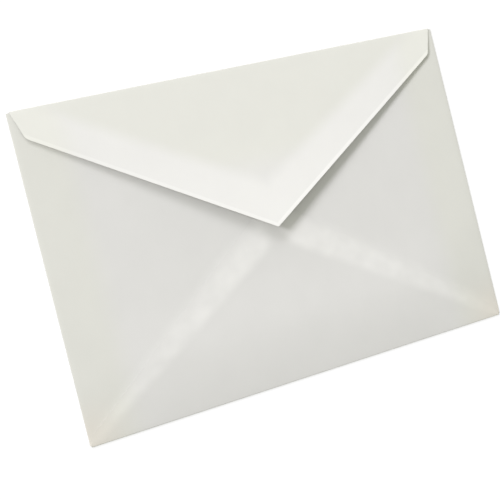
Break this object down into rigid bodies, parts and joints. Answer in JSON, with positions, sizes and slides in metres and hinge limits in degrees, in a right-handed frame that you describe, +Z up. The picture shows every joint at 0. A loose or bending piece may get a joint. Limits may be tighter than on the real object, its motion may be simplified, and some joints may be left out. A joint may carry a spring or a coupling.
{
  "type": "paper envelope",
  "caption": "Plain white paper envelope with a pointed flap that stands slightly open, folded from a sheet of paper with glued seams around a shallow pocket.",
  "frame": {"origin": "under the middle of the front panel, on its outer face, which the envelope rests on", "axes": "+X along the top fold, +Y from the bottom fold to the top fold, +Z up through the flap side"},
  "size_m": [0.162, 0.114, 0.0051],
  "materials": {
    "paper": "matt"
  },
  "bodies": {
    "root": {"envelope": "paper"}
  },
  "joints": []
}
